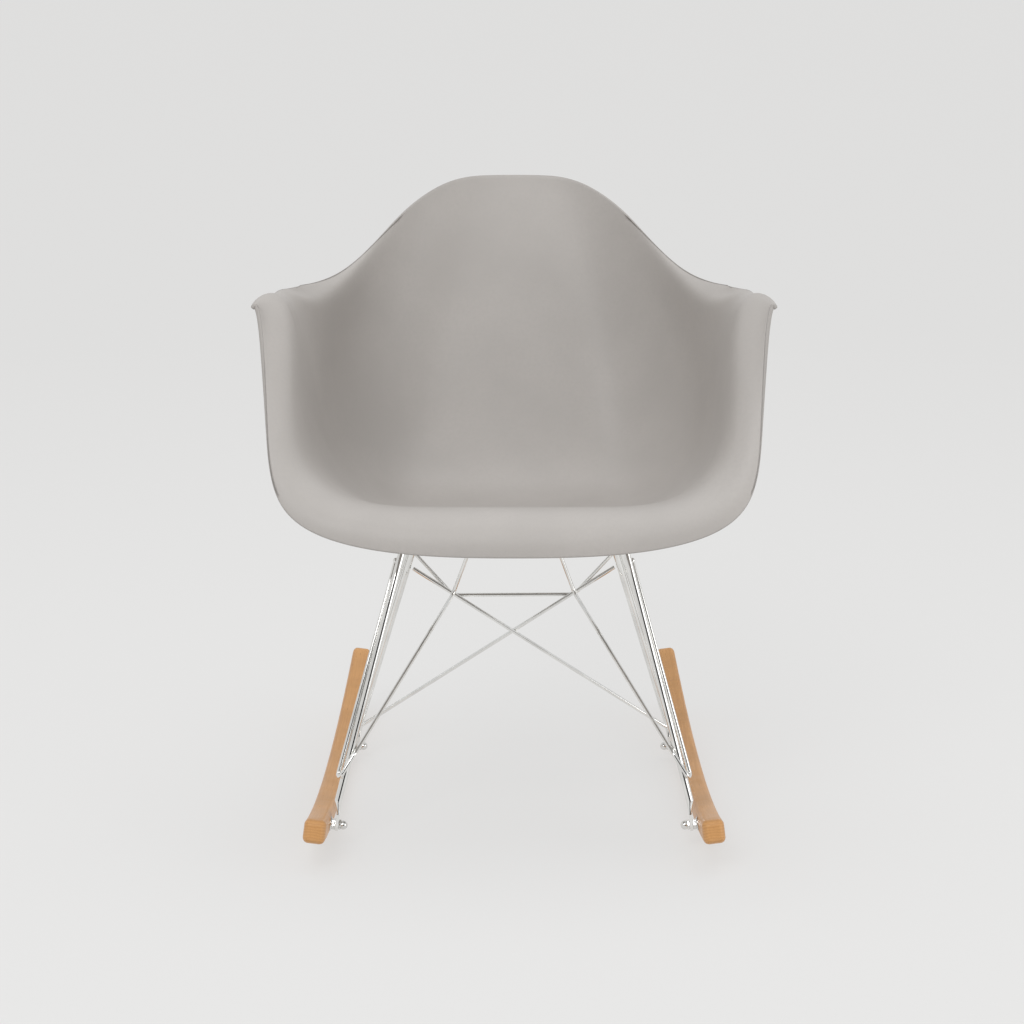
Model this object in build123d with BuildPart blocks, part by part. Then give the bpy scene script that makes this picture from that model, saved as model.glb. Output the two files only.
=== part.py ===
"""Rocking armchair: a moulded shell on a steel rod base with two wooden rockers.

Frame: +X points to the right of a viewer who faces the front of the chair, +Y points to its
back, +Z is up.  The origin lies on the floor, under the middle of the chair.
All sizes are millimetres.
"""

import math
import os

from build123d import *

os.makedirs("parts", exist_ok=True)

# ---------------------------------------------------------------- driving dimensions

# Moulded shell
SHELL_THICKNESS = 4.6
SPINE = (  # centre line of the seat from the front edge over the lip, up to the top: (y, z)
    (-345.5, 362),
    (-343, 384),
    (-326, 401),
    (-298, 412),
    (-240, 398),
    (-150, 376),
    (-65, 361),
    (10, 356),
    (64, 371),
    (100, 414),
    (128, 477),
    (154, 553),
    (178, 634),
    (199, 713),
    (210, 758),
)
ARM_EDGE_FRONT = (304, -200, 630)  # outer edge of the armrest at its front tip
ARM_EDGE_REAR = (258, -25, 631)  # where the armrest edge runs into the back's rim
ARM_EDGE_DROP = 18  # at its front the armrest's outer edge hangs this much below its crest
SEAT_HALF_WIDTH = 244  # inside wall of the bucket
BACK_HALF_WIDTH = 234
# Half outlines outwards from the centre line, in the plane through it and the armrest's edge:
# (x, rise in the plane, sag below the plane)
FRONT_EDGE = (
    (0, 0, 0),
    (97, 1, 0),
    (194, 14, 0),
    (264, 52, 0),
    (272, 152, 0),
    (278, 230, 0),
    (284, 306, 0),
    (294, 290, 0),
)
TOP_EDGE = (
    (0, 0, 0),
    (34, 0, 0),
    (82, 10, -2),
    (138, 60, 12),
    (186, 124, 38),
    (222, 182, 40),
    (248, 230, 18),
    (258, 262, 0),
)
FRONT_EDGE_RISE = 302  # rise of FRONT_EDGE at which the armrest's tip lies
FRONT_BLEND = (1.0, 0.7, 0.34, 0.1)  # share of FRONT_EDGE in the first rows
TOP_BLEND = (0.08, 0.25, 0.5, 0.78, 1.0)  # share of TOP_EDGE in the last rows
GRID_ALONG = 31
GRID_ACROSS = 37
SURFACE_TOLERANCE = 0.05

# Rockers, drawn upright in their own plane and then leaned inwards with the legs
ROCKER_FRONT_Y = -338
ROCKER_REAR_Y = 348
ROCKER_LOWEST_Y = -41
ROCKER_RADIUS = 1190  # underside
ROCKER_WIDTH = 25
ROCKER_HEIGHT = 27
ROCKER_END_RADIUS = 10
ROCKER_EDGE_RADIUS = 6
ROCKER_CANT = math.degrees(math.atan(0.125))
ROCKER_INNER_X = 214.8  # inner face at floor level

# Rod base, right-hand side; the left-hand side is its mirror image
LEG_DIAMETER = 8.5
STAY_DIAMETER = 5
FRONT_LEG = ((201.5, -248, 58), (124.5, -160, 354))  # rod axis from its kink to its top
REAR_LEG = ((202, 92, 48), (112.5, 50, 342))
SIDE_RAIL_DROP = 8  # rail axes below the tops of the legs
REAR_CROSS_RAIL_DROP = 17
FRONT_CROSS_RAIL_Y = -110  # between the two side rails
FRONT_CROSS_RAIL_DIAMETER = 8
WIRE_OFFSET = (LEG_DIAMETER + STAY_DIAMETER) / 2 + 0.1  # wire axis beside a leg's axis
WIRE_PITCH = STAY_DIAMETER + 0.15  # wire axes where two wires cross
STAY_WELD_GAP = 1.1  # allowances where three wires meet
SPREADER_WELD_GAP = 1.35
STAY_TOP_DROP = 32  # weld of a stay below the top of its leg
# Corners of the stays as (z, outwards of the leg's axis, forwards of it)
FRONT_STAY_WELD = (FRONT_LEG[1][2] - STAY_TOP_DROP, 4.8, -5.4)
FRONT_HAIRPIN = ((85, 7.8, 0), (83, 4.2, 8.5), (111, -5.5, 7.2))
REAR_STAY_WELD = (REAR_LEG[1][2] - STAY_TOP_DROP, WIRE_OFFSET, 0)
REAR_HAIRPIN = ((44, 9.5, 0), (42, 6, 9.4), (55, -6.5, 9.4))
STAY_BEAD_DIAMETER = 7
BEAD_SHIFT = 1.2
FRONT_BEND_RADII = (4, 4, 8, 10)
REAR_BEND_RADII = (4, 4, 8)
JUNCTION = (78, 231)  # x and z where stay, brace and spreader cross
STAY_HEAD_X = 46  # front stays end at this x on the rear cross rail
BRACE_TOP_DROP = 75
SPREADER_TOP_DROP = 58
SPREADER_Z = 227.5
SPREADER_BEND_RADIUS = 18

# Bolted joint between a leg and a rocker, stacked inwards from the rocker's inner face
BOLT_FRONT_Y = -248
BOLT_REAR_Y = 92
STUD_DIAMETER = 6
STUD_DEPTH = 17
STUD_BORE_CLEARANCE = 0.2
ROCKER_WASHER = (16, 1.2)  # diameter and thickness
SPACER_NUT = (11, 4.8)  # width across flats and thickness
TAB_THICKNESS = 3.4
TAB_WIDTH = 15
TAB_RISE = 14  # bolt axis to the start of the kink
CAP_NUT_FLATS = 10
CAP_NUT_HEX_HEIGHT = 3
CAP_NUT_DOME_DIAMETER = 10.4
CAP_NUT_BORE_DEPTH = 6

# Flexible mounts between the base and the shell
PLATE_THICKNESS = 3
PLATE_WIDTH = 26
PLATE_REACH = 24  # leg top to screw axis, towards the middle of the chair
PAD_DIAMETER = 42
PAD_EDGE_RADIUS = 2
INSERT_DIAMETER = 14
INSERT_HEIGHT = 9
SCREW_DIAMETER = 6
SCREW_HEAD = (11, 3.3)
SCREW_SOCKET = (4, 2)
SCREW_WASHER = (14, 1.5)
CLEARANCE_HOLE = 6.6


# ---------------------------------------------------------------- seat shell


def mix(start, end, share):
    """Point between two points."""
    return tuple(a + (b - a) * share for a, b in zip(start, end))


def bucket_outline(half_width, edge_x, rise, softness):
    """Half section of the bucket: flat floor, round corner, wall and rolled armrest."""
    drop = ARM_EDGE_DROP * (1 - softness**2)
    return (
        (0, 0, 0),
        (0.38 * half_width, 0, 0),
        ((0.76 - 0.16 * softness) * half_width, 0, 0),
        ((0.98 - 0.05 * softness) * half_width, (0.10 + 0.14 * softness) * rise, 0),
        (half_width, (0.52 + 0.04 * softness) * rise, 0),
        (half_width + 4 + 6 * softness, (1.01 - 0.1 * softness) * rise + 8, 0),
        (edge_x - 5 - 2 * softness, rise + 20 - 22 * softness, 0),
        (edge_x, rise - drop, 0),
    )


def control_rows():
    """Control net of the seat surface, one row for each point of the spine."""
    last = len(SPINE) - 1
    rows = []
    for index, (spine_y, spine_z) in enumerate(SPINE):
        share = index / last
        arm_x, arm_y, arm_z = mix(ARM_EDGE_FRONT, ARM_EDGE_REAR, share)
        reach = math.hypot(arm_y - spine_y, arm_z - spine_z)
        rise_y = (arm_y - spine_y) / reach
        rise_z = (arm_z - spine_z) / reach
        softness = min(1, share / 0.6)
        half_width = SEAT_HALF_WIDTH + (BACK_HALF_WIDTH - SEAT_HALF_WIDTH) * share
        outline = bucket_outline(half_width, arm_x, reach, softness)
        if index < len(FRONT_BLEND):
            stretch = reach / FRONT_EDGE_RISE
            scaled = [(x, rise * stretch, sag) for x, rise, sag in FRONT_EDGE]
            outline = [mix(a, b, FRONT_BLEND[index]) for a, b in zip(outline, scaled)]
        top_index = index - (len(SPINE) - len(TOP_BLEND))
        if top_index >= 0:
            stretch = reach / TOP_EDGE[-1][1]
            scaled = [(x, rise * stretch, sag) for x, rise, sag in TOP_EDGE]
            outline = [mix(a, b, TOP_BLEND[top_index]) for a, b in zip(outline, scaled)]
        half = [
            (
                x,
                spine_y + rise * rise_y - sag * rise_z,
                spine_z + rise * rise_z + sag * rise_y,
            )
            for x, rise, sag in outline
        ]
        mirrored = [(-x, y, z) for x, y, z in reversed(half[1:])]
        rows.append(mirrored + half)
    return rows


def spline_weights(count, position):
    """Weights of a clamped cubic spline's control points at a position from 0 to 1."""
    knots = [0] * 3 + list(range(count - 2)) + [count - 3] * 3
    at = min(position * (count - 3), count - 3 - 1e-9)
    weights = [1.0 if knots[i] <= at < knots[i + 1] else 0.0 for i in range(count + 3)]
    for degree in (1, 2, 3):
        for i in range(count + 3 - degree):
            left = knots[i + degree] - knots[i]
            right = knots[i + degree + 1] - knots[i + 1]
            rising = (at - knots[i]) / left * weights[i] if left else 0
            falling = (knots[i + degree + 1] - at) / right * weights[i + 1] if right else 0
            weights[i] = rising + falling
    return weights[:count]


def seat_points():
    """Grid of points on the seat's upper surface, from the front edge to the top."""
    rows = control_rows()
    across = [spline_weights(len(rows[0]), i / (GRID_ACROSS - 1)) for i in range(GRID_ACROSS)]
    along = [spline_weights(len(rows), i / (GRID_ALONG - 1)) for i in range(GRID_ALONG)]
    grid = []
    for row_weights in along:
        blended = [
            [sum(w * row[j][axis] for w, row in zip(row_weights, rows)) for axis in range(3)]
            for j in range(len(rows[0]))
        ]
        grid.append(
            [
                tuple(sum(w * blended[j][axis] for j, w in enumerate(weights)) for axis in range(3))
                for weights in across
            ]
        )
    return grid


def finish(builder, name):
    """Label a finished sub-part and write it."""
    builder.part.label = name
    export_step(builder.part, f"parts/{name}.step")


seat_face = Face.make_surface_from_array_of_points(seat_points(), tol=SURFACE_TOLERANCE, min_deg=3, max_deg=3)
with BuildPart() as seat_shell:
    thicken(seat_face, amount=SHELL_THICKNESS, normal_override=(0, -1, -1))
finish(seat_shell, "seat_shell")


# ---------------------------------------------------------------- bolted joints at the rockers

SIDES = (("right", 1), ("left", -1))
ENDS = (("front", BOLT_FRONT_Y), ("rear", BOLT_REAR_Y))


def rocker_plane(side):
    """Plane of the rocker's inner face: x to the rear, y up along the face, z outwards."""
    cant = math.radians(ROCKER_CANT)
    drop = ROCKER_EDGE_RADIUS * (math.sin(cant) + math.cos(cant) - 1)
    return Plane(
        origin=(side * ROCKER_INNER_X, 0, -drop),
        x_dir=(0, side, 0),
        z_dir=(side * math.cos(cant), 0, math.sin(cant)),
    )


def bolt_height(y):
    """Middle of the rocker above its lowest point, at a place along it."""
    radius = ROCKER_RADIUS - ROCKER_HEIGHT / 2
    return ROCKER_RADIUS - math.sqrt(radius**2 - (y - ROCKER_LOWEST_Y) ** 2)


def bolt_plane(side, y, inwards=0):
    """Plane across a bolt's axis, a distance inwards of the rocker's inner face."""
    face = rocker_plane(side)
    centre = face.from_local_coords((side * y, bolt_height(y), -inwards))
    return Plane(origin=centre, x_dir=face.x_dir, z_dir=face.z_dir)


WASHER_FACE = ROCKER_WASHER[1]
NUT_FACE = WASHER_FACE + SPACER_NUT[1]
TAB_FACE = NUT_FACE + TAB_THICKNESS


def bolts():
    """Side and place of each of the four bolts."""
    return [(side, y) for _, side in SIDES for _, y in ENDS]


with BuildPart() as rocker_studs:
    for side, y in bolts():
        with BuildSketch(bolt_plane(side, y, TAB_FACE + CAP_NUT_BORE_DEPTH)):
            Circle(STUD_DIAMETER / 2)
        extrude(amount=TAB_FACE + CAP_NUT_BORE_DEPTH + STUD_DEPTH)
finish(rocker_studs, "rocker_studs")

with BuildPart() as rocker_washers:
    for side, y in bolts():
        with BuildSketch(bolt_plane(side, y, WASHER_FACE)):
            Circle(ROCKER_WASHER[0] / 2)
            Circle(CLEARANCE_HOLE / 2, mode=Mode.SUBTRACT)
        extrude(amount=ROCKER_WASHER[1])
finish(rocker_washers, "rocker_washers")

with BuildPart() as spacer_nuts:
    for side, y in bolts():
        with BuildSketch(bolt_plane(side, y, NUT_FACE)):
            RegularPolygon(SPACER_NUT[0] / 2, 6, major_radius=False, rotation=30)
            Circle(STUD_DIAMETER / 2 + STUD_BORE_CLEARANCE, mode=Mode.SUBTRACT)
        extrude(amount=SPACER_NUT[1])
finish(spacer_nuts, "spacer_nuts")

with BuildPart() as cap_nuts:
    for side, y in bolts():
        seat = bolt_plane(side, y, TAB_FACE)
        with BuildSketch(seat):
            RegularPolygon(CAP_NUT_FLATS / 2, 6, major_radius=False, rotation=30)
        extrude(amount=-CAP_NUT_HEX_HEIGHT)
        with BuildSketch(seat.offset(-CAP_NUT_DOME_DIAMETER / 4)):
            Circle(CAP_NUT_DOME_DIAMETER * math.sqrt(3) / 4)
        extrude(amount=-CAP_NUT_DOME_DIAMETER / 4)
        with Locations(seat.offset(-CAP_NUT_DOME_DIAMETER / 2)):
            Sphere(CAP_NUT_DOME_DIAMETER / 2, arc_size1=-90, arc_size2=30)
    for side, y in bolts():
        with BuildSketch(bolt_plane(side, y, TAB_FACE)):
            Circle(STUD_DIAMETER / 2 + STUD_BORE_CLEARANCE)
        extrude(amount=-CAP_NUT_BORE_DEPTH, mode=Mode.SUBTRACT)
finish(cap_nuts, "cap_nuts")


# ---------------------------------------------------------------- rockers


def rocker_outline(side):
    """Bent slat between two arcs about one centre, with rounded ends."""
    top_radius = ROCKER_RADIUS - ROCKER_HEIGHT
    centre = (side * ROCKER_LOWEST_Y, ROCKER_RADIUS)
    angles = [
        math.asin((y - ROCKER_LOWEST_Y) / ROCKER_RADIUS) for y in (ROCKER_FRONT_Y, ROCKER_REAR_Y)
    ]
    lower, upper = [
        [
            (centre[0] + side * radius * math.sin(angle), centre[1] - radius * math.cos(angle))
            for angle in (angles[0], sum(angles) / 2, angles[1])
        ]
        for radius in (ROCKER_RADIUS, top_radius)
    ]
    with BuildSketch(rocker_plane(side)) as outline:
        with BuildLine():
            ThreePointArc(*lower)
            Line(lower[2], upper[2])
            ThreePointArc(*reversed(upper))
            Line(upper[0], lower[0])
        make_face()
        fillet(outline.vertices(), ROCKER_END_RADIUS)
    return outline


def make_rocker(side):
    """One rocker with its two stud holes."""
    with BuildPart() as rocker:
        extrude(rocker_outline(side).sketch, amount=ROCKER_WIDTH)
        fillet(rocker.edges().filter_by(GeomType.LINE, reverse=True), ROCKER_EDGE_RADIUS)
        for _, y in ENDS:
            with BuildSketch(bolt_plane(side, y)):
                Circle(STUD_DIAMETER / 2 + STUD_BORE_CLEARANCE)
            extrude(amount=STUD_DEPTH, mode=Mode.SUBTRACT)
    return rocker


for side_name, side in SIDES:
    finish(make_rocker(side), f"rocker_{side_name}")


# ---------------------------------------------------------------- legs and rails


def mirrored(point, side):
    """Point on the given side of the chair."""
    return Vector(side * point[0], point[1], point[2])


def leg_axis(leg, side):
    """Lower end and direction of a leg."""
    bottom = mirrored(leg[0], side)
    return bottom, (mirrored(leg[1], side) - bottom).normalized()


def beside_leg(leg, side, z, outwards=0, forwards=0):
    """Point beside a leg's axis at a height, in the plane square to the leg."""
    bottom, direction = leg_axis(leg, side)
    on_axis = bottom + direction * ((z - bottom.Z) / direction.Z)
    out = Vector(side, 0, 0)
    out = (out - direction * out.dot(direction)).normalized()
    ahead = Vector(0, -1, 0)
    ahead = ahead - direction * ahead.dot(direction)
    ahead = (ahead - out * ahead.dot(out)).normalized()
    return on_axis + out * outwards + ahead * forwards


def make_leg(leg, side, bolt_y):
    """Straight rod cut level at the top, flattened below into a drilled tab."""
    bottom, direction = leg_axis(leg, side)
    top_z = leg[1][2]
    tab = bolt_plane(side, bolt_y, TAB_FACE)
    tab_middle = bolt_plane(side, bolt_y, (NUT_FACE + TAB_FACE) / 2)
    tab_top = Plane(
        origin=tab_middle.from_local_coords((0, TAB_RISE, 0)),
        x_dir=tab.x_dir,
        z_dir=tab.y_dir,
    )
    rod_end = Plane(origin=bottom, x_dir=(0, side, 0), z_dir=direction)
    with BuildPart() as rod:
        with BuildSketch(rod_end):
            Circle(LEG_DIAMETER / 2)
        extrude(amount=2 * top_z)
        split(bisect_by=Plane.XY.offset(top_z), keep=Keep.BOTTOM)
        with BuildSketch(tab_top):
            RectangleRounded(TAB_WIDTH, TAB_THICKNESS, TAB_THICKNESS / 3)
        with BuildSketch(rod_end):
            Circle(LEG_DIAMETER / 2)
        loft()
        with BuildSketch(tab):
            Circle(TAB_WIDTH / 2)
            with Locations((0, TAB_RISE / 2)):
                Rectangle(TAB_WIDTH, TAB_RISE)
            Circle(STUD_DIAMETER / 2 + STUD_BORE_CLEARANCE, mode=Mode.SUBTRACT)
        extrude(amount=TAB_THICKNESS)
    return rod


LEGS = {"front": FRONT_LEG, "rear": REAR_LEG}
legs = {}
for side_name, side in SIDES:
    for end_name, bolt_y in ENDS:
        leg = make_leg(LEGS[end_name], side, bolt_y)
        legs[end_name, side] = leg
        finish(leg, f"leg_{end_name}_{side_name}")


def make_rail(start, end, diameter, joined):
    """Straight rod whose ends are saddled against the rods that it is welded to."""
    run = end - start
    with BuildPart() as rail:
        with BuildSketch(Plane(origin=start, z_dir=run)):
            Circle(diameter / 2)
        extrude(amount=run.length)
        for rod in joined:
            add(rod.part, mode=Mode.SUBTRACT)
        middle = rail.solids().sort_by(SortBy.VOLUME)[-1]
    with BuildPart() as trimmed:
        add(middle)
    return trimmed


def side_rail_ends(side):
    """Where a side rail's axis meets the axes of the front and rear legs."""
    return [beside_leg(leg, side, leg[1][2] - SIDE_RAIL_DROP) for leg in (FRONT_LEG, REAR_LEG)]


def side_rail_point(side, y):
    """Point on a side rail's axis."""
    front, rear = side_rail_ends(side)
    return front + (rear - front) * ((y - front.Y) / (rear.Y - front.Y))


side_rails = {}
for side_name, side in SIDES:
    rail = make_rail(
        *side_rail_ends(side),
        LEG_DIAMETER,
        (legs["front", side], legs["rear", side]),
    )
    side_rails[side] = rail
    finish(rail, f"side_rail_{side_name}")

front_rail = make_rail(
    side_rail_point(-1, FRONT_CROSS_RAIL_Y),
    side_rail_point(1, FRONT_CROSS_RAIL_Y),
    FRONT_CROSS_RAIL_DIAMETER,
    side_rails.values(),
)
finish(front_rail, "cross_rail_front")

rear_rail_z = REAR_LEG[1][2] - REAR_CROSS_RAIL_DROP
rear_rail = make_rail(
    beside_leg(REAR_LEG, -1, rear_rail_z),
    beside_leg(REAR_LEG, 1, rear_rail_z),
    LEG_DIAMETER,
    (legs["rear", -1], legs["rear", 1]),
)
finish(rear_rail, "cross_rail_rear")


# ---------------------------------------------------------------- wire stays


def make_wire(points, radii, bead_at=None):
    """Round wire along straight runs and bends, with an optional weld bead at one end."""
    with BuildPart() as wire:
        with BuildLine() as path:
            FilletPolyline(*points, radius=radii)
        start = path.wire() @ 0
        with BuildSketch(Plane(origin=start, z_dir=path.wire() % 0)):
            Circle(STAY_DIAMETER / 2)
        sweep(path=path.wire())
        if bead_at is not None:
            with Locations(bead_at):
                Sphere(STAY_BEAD_DIAMETER / 2)
    return wire


def front_stay_points(side):
    """From the weld on the front leg down round a hairpin and up to the rear cross rail."""
    head_z = REAR_LEG[1][2] - REAR_CROSS_RAIL_DROP
    rail_y = beside_leg(REAR_LEG, side, head_z).Y
    junction_x, junction_z = JUNCTION
    return [
        beside_leg(FRONT_LEG, side, *FRONT_STAY_WELD),
        *[beside_leg(FRONT_LEG, side, *corner) for corner in FRONT_HAIRPIN],
        Vector(side * junction_x, brace_y(side) - WIRE_PITCH + STAY_WELD_GAP, junction_z),
        Vector(side * STAY_HEAD_X, rail_y - 2, head_z - (LEG_DIAMETER + STAY_DIAMETER) / 2 + 0.5),
    ]


def rear_stay_points(side):
    """From the weld on the rear leg down round a hairpin and across to the other rear leg."""
    step = side * WIRE_PITCH / 2
    last_z, last_out, last_ahead = REAR_HAIRPIN[-1]
    return [
        beside_leg(REAR_LEG, side, *REAR_STAY_WELD),
        *[beside_leg(REAR_LEG, side, *corner) for corner in REAR_HAIRPIN[:-1]],
        beside_leg(REAR_LEG, side, last_z, last_out, last_ahead + step),
        beside_leg(REAR_LEG, -side, REAR_LEG[1][2] - BRACE_TOP_DROP, -WIRE_OFFSET, step),
    ]


def bead_place(leg, side, weld):
    """Middle of a weld bead, a little further from the leg than the wire's axis."""
    z, outwards, forwards = weld
    spread = 1 + BEAD_SHIFT / math.hypot(outwards, forwards)
    return beside_leg(leg, side, z, outwards * spread, forwards * spread)


def brace_y(side):
    """Place of the brace where it passes the junction on its way up to a side's rear leg."""
    low, high = rear_stay_points(-side)[-2:]
    share = (side * JUNCTION[0] - low.X) / (high.X - low.X)
    return low.Y + (high.Y - low.Y) * share


for side_name, side in SIDES:
    front_bead = bead_place(FRONT_LEG, side, FRONT_STAY_WELD)
    finish(make_wire(front_stay_points(side), FRONT_BEND_RADII, front_bead), f"front_stay_{side_name}")
    rear_bead = bead_place(REAR_LEG, side, REAR_STAY_WELD)
    finish(make_wire(rear_stay_points(side), REAR_BEND_RADII, rear_bead), f"rear_stay_{side_name}")

spreader_ends = [
    beside_leg(REAR_LEG, side, REAR_LEG[1][2] - SPREADER_TOP_DROP, -2.5, -6.6) for side in (-1, 1)
]
spreader_bends = [
    Vector(side * JUNCTION[0], brace_y(side) + WIRE_PITCH + SPREADER_WELD_GAP, SPREADER_Z) for side in (-1, 1)
]
spreader_points = [spreader_ends[0], *spreader_bends, spreader_ends[1]]
finish(make_wire(spreader_points, SPREADER_BEND_RADIUS), "rear_spreader")


# ---------------------------------------------------------------- flexible mounts


def mount_place(leg, side, height=0):
    """Screw axis of a mount, a height above the top of its leg."""
    top = mirrored(leg[1], side)
    return Vector(top.X - side * PLATE_REACH, top.Y, top.Z + height)


def mount_sketch_plane(leg, side, height=0):
    """Level plane on the screw axis of a mount."""
    return Plane(origin=mount_place(leg, side, height))


def make_plate(leg, side):
    """Steel strap welded on the leg's top, with the screw hole at its inner end."""
    with BuildPart() as plate:
        with BuildSketch(mount_sketch_plane(leg, side)):
            with Locations((side * PLATE_REACH / 2, 0)):
                SlotCenterToCenter(PLATE_REACH, PLATE_WIDTH)
            Circle(CLEARANCE_HOLE / 2, mode=Mode.SUBTRACT)
        extrude(amount=PLATE_THICKNESS)
    return plate


def make_pad(leg, side):
    """Rubber disc between the plate and the shell, its top moulded to the shell."""
    with BuildPart() as blank:
        with BuildSketch(mount_sketch_plane(leg, side, PLATE_THICKNESS)):
            Circle(PAD_DIAMETER / 2)
        extrude(amount=PAD_DIAMETER)
        fillet(blank.edges().group_by(Axis.Z)[0], PAD_EDGE_RADIUS)
        add(seat_shell.part, mode=Mode.SUBTRACT)
        lower = blank.solids().sort_by(Axis.Z)[0]
    with BuildPart() as pad:
        add(lower)
        with BuildSketch(mount_sketch_plane(leg, side, PLATE_THICKNESS)):
            Circle(INSERT_DIAMETER / 2)
        extrude(amount=INSERT_HEIGHT, mode=Mode.SUBTRACT)
    return pad


for side_name, side in SIDES:
    for end_name, leg in LEGS.items():
        finish(make_plate(leg, side), f"mount_plate_{end_name}_{side_name}")
        finish(make_pad(leg, side), f"mount_pad_{end_name}_{side_name}")

with BuildPart() as mount_inserts:
    for _, side in SIDES:
        for leg in LEGS.values():
            with BuildSketch(mount_sketch_plane(leg, side, PLATE_THICKNESS)):
                Circle(INSERT_DIAMETER / 2)
                Circle(SCREW_DIAMETER / 2 + STUD_BORE_CLEARANCE, mode=Mode.SUBTRACT)
            extrude(amount=INSERT_HEIGHT)
finish(mount_inserts, "mount_inserts")

with BuildPart() as mount_washers:
    for _, side in SIDES:
        for leg in LEGS.values():
            with BuildSketch(mount_sketch_plane(leg, side)):
                Circle(SCREW_WASHER[0] / 2)
                Circle(CLEARANCE_HOLE / 2, mode=Mode.SUBTRACT)
            extrude(amount=-SCREW_WASHER[1])
finish(mount_washers, "mount_washers")

with BuildPart() as mount_screws:
    for _, side in SIDES:
        for leg in LEGS.values():
            head_plane = mount_sketch_plane(leg, side, -SCREW_WASHER[1])
            with BuildSketch(head_plane):
                Circle(SCREW_HEAD[0] / 2)
            extrude(amount=-SCREW_HEAD[1])
            with BuildSketch(head_plane):
                Circle(SCREW_DIAMETER / 2)
            extrude(amount=SCREW_WASHER[1] + PLATE_THICKNESS + INSERT_HEIGHT)
            with BuildSketch(head_plane.offset(-SCREW_HEAD[1])):
                RegularPolygon(SCREW_SOCKET[0] / 2, 6, major_radius=False)
            extrude(amount=SCREW_SOCKET[1], mode=Mode.SUBTRACT)
finish(mount_screws, "mount_screws")
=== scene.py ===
import math

import bmesh
import bpy
import numpy as np
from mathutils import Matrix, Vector


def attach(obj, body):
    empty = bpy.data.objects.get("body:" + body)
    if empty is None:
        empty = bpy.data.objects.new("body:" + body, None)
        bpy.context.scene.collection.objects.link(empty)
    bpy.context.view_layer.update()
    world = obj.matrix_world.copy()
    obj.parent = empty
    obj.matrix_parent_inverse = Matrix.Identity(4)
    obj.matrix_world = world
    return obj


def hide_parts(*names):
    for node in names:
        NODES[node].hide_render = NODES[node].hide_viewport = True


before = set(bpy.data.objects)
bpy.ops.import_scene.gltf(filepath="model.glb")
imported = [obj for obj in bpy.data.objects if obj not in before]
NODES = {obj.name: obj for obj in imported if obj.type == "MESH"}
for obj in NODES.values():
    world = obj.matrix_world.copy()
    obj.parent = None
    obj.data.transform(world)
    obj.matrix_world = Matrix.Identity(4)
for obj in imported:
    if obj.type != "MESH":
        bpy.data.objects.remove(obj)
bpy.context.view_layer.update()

bl_info = {
    "name": "Rocking Armchair",
    "version": (1, 0, 0),
    "blender": (4, 5, 0),
    "location": "3D View > Sidebar > Armchair",
    "description": "A moulded armchair shell on a chromed wire base with two maple rockers",
    "category": "Add Mesh",
}

BODY = "root"
SIDES = (("right", 1), ("left", -1))

# ---------------------------------------------------------------- sizes shared by the pieces, metres

# Seat: centre line from the front edge over the lip and up to the top, as (y, z)
SEAT_SPINE = (
    (-0.3455, 0.362),
    (-0.343, 0.384),
    (-0.326, 0.401),
    (-0.298, 0.412),
    (-0.24, 0.398),
    (-0.15, 0.376),
    (-0.065, 0.361),
    (0.01, 0.356),
    (0.064, 0.371),
    (0.1, 0.414),
    (0.128, 0.477),
    (0.154, 0.553),
    (0.178, 0.634),
    (0.199, 0.713),
    (0.21, 0.758),
)
ARM_EDGE_FRONT = (0.304, -0.2, 0.63)
ARM_EDGE_REAR = (0.258, -0.025, 0.631)
ARM_EDGE_DROP = 0.018
SEAT_HALF_WIDTH = 0.244
BACK_HALF_WIDTH = 0.234
SHELL_GRID = (104, 150)  # steps along the spine and across it
SUPPORT_ROW = 0.0032  # share of the surface between an edge and the row beside it
# Half sections of the front edge and of the top edge, as (across, rise, sag)
FRONT_EDGE = (
    (0, 0, 0),
    (0.097, 0.001, 0),
    (0.194, 0.014, 0),
    (0.264, 0.052, 0),
    (0.272, 0.152, 0),
    (0.278, 0.23, 0),
    (0.284, 0.306, 0),
    (0.294, 0.29, 0),
)
FRONT_EDGE_RISE = 0.302
TOP_EDGE = (
    (0, 0, 0),
    (0.034, 0, 0),
    (0.082, 0.01, -0.002),
    (0.138, 0.06, 0.012),
    (0.186, 0.124, 0.038),
    (0.222, 0.182, 0.04),
    (0.248, 0.23, 0.018),
    (0.258, 0.262, 0),
)
FRONT_BLEND = (1.0, 0.7, 0.34, 0.1)
TOP_BLEND = (0.08, 0.25, 0.5, 0.78, 1.0)

# Legs: rod axis from its kink to its top
FRONT_LEG = ((0.2015, -0.248, 0.058), (0.1245, -0.16, 0.354))
REAR_LEG = ((0.202, 0.092, 0.048), (0.1125, 0.05, 0.342))
LEG_DIAMETER = 0.0085
REAR_CROSS_RAIL_DROP = 0.017
STAY_TOP_DROP = 0.032
BRACE_TOP_DROP = 0.075
SPREADER_TOP_DROP = 0.058
SPREADER_HEIGHT = 0.2275
JUNCTION = (0.078, 0.231)
STAY_HEAD_X = 0.046
STAY_WELD_GAP = 0.0011
SPREADER_WELD_GAP = 0.00135
WIRE_PLAY = 0.00015  # between the surfaces of two crossing wires
LEG_PLAY = 0.0001  # between a leg and the wire beside it
SPREADER_END = (-0.0025, -0.0066)  # outwards of the rear leg's axis and forwards of it
STAY_HEAD_AHEAD = 0.002  # head of a front stay, ahead of the rear cross rail's axis
STAY_HEAD_RISE = 0.0005

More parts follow.
